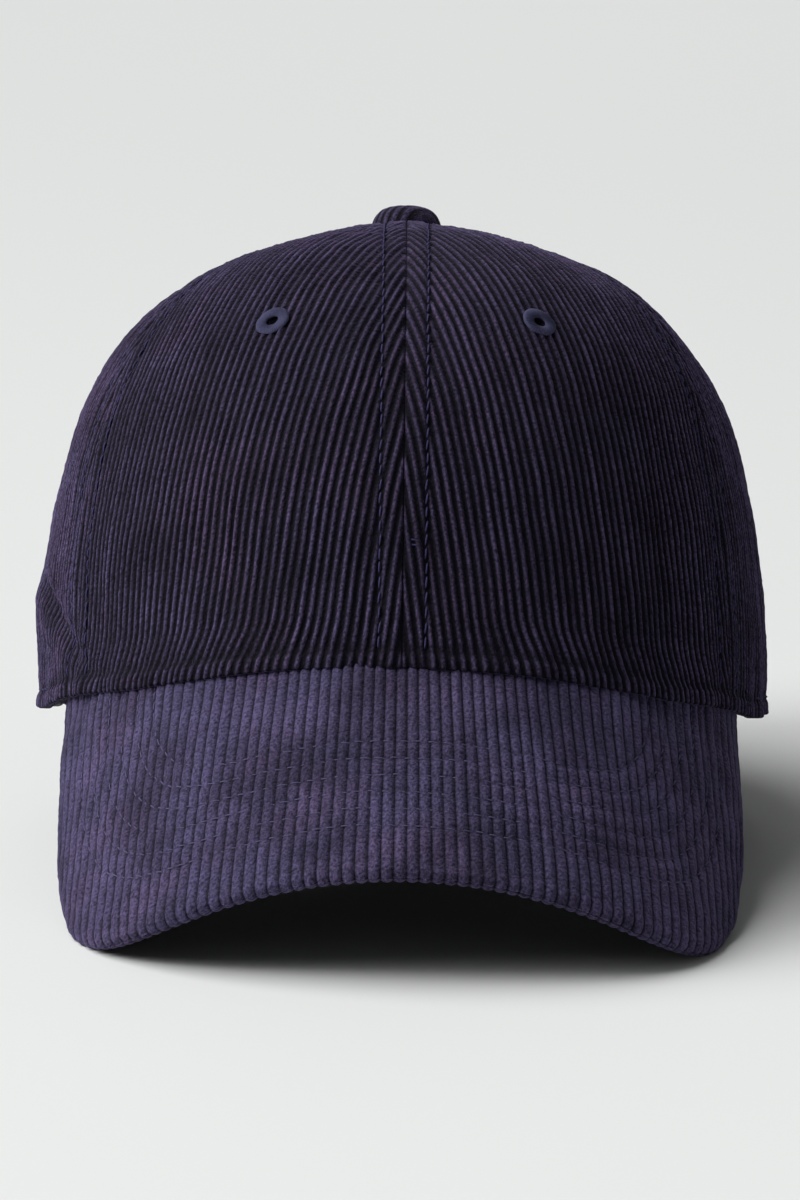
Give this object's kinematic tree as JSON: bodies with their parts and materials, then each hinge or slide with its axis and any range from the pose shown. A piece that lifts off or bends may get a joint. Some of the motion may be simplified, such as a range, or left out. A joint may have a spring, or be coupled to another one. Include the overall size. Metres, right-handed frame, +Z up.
{
  "type": "six-panel corduroy cap",
  "caption": "Six-panel corduroy cap with a curved brim, a covered top button, sewn eyelets, a sweatband and a rear strap with a flip-lock buckle.",
  "frame": {"origin": "on the table under the centre of the cap's overall box", "axes": "+Z up, the brim points to -Y, the rear strap is at +Y, +X is the right-hand side seen from the front"},
  "size_m": [0.168, 0.2644, 0.1415],
  "materials": {
    "crown_corduroy": "ribbed cotton corduroy, dark blue violet",
    "eyelet_thread": "satin-stitched thread",
    "seam_tape": "plain woven tape",
    "button_corduroy": "ribbed cotton corduroy, stretched over a dome",
    "button_metal": "plain stamped steel",
    "brim_corduroy": "ribbed cotton corduroy with rows of stitching",
    "brim_board": "stiff moulded sheet",
    "brim_lining": "black cotton twill",
    "sweatband_twill": "cotton twill band",
    "strap_corduroy": "ribbed cotton corduroy, folded strap",
    "buckle_brass": "antiqued satin brass"
  },
  "bodies": {
    "cap": {"panel_front_left": "crown_corduroy", "panel_front_right": "crown_corduroy", "panel_side_left": "crown_corduroy", "panel_side_right": "crown_corduroy", "panel_back_left": "crown_corduroy", "panel_back_right": "crown_corduroy", "eyelet_front_left": "eyelet_thread", "eyelet_front_right": "eyelet_thread", "eyelet_side_left": "eyelet_thread", "eyelet_side_right": "eyelet_thread", "eyelet_back_left": "eyelet_thread", "eyelet_back_right": "eyelet_thread", "seam_tape_front": "seam_tape", "seam_tape_front_left": "seam_tape", "seam_tape_front_right": "seam_tape", "seam_tape_rear": "seam_tape", "seam_tape_rear_left": "seam_tape", "seam_tape_rear_right": "seam_tape", "button_cover": "button_corduroy", "button_core": "button_metal", "button_washer": "button_metal", "brim_top_cover": "brim_corduroy", "brim_board": "brim_board", "brim_under_cover": "brim_lining", "sweatband": "sweatband_twill", "opening_facing": "seam_tape", "strap_long": "strap_corduroy", "strap_tab": "strap_corduroy", "buckle_frame": "buckle_brass", "buckle_pin": "buckle_brass"},
    "lever": {"buckle_lever": "buckle_brass"}
  },
  "joints": [
    {"name": "lever_hinge", "type": "hinge", "parent": "cap", "child": "lever", "pos_m": [-0.01866, 0.11604, 0.01184], "axis": [0.0034, 0.3453, 0.9385], "range_deg": [0, 100]}
  ]
}
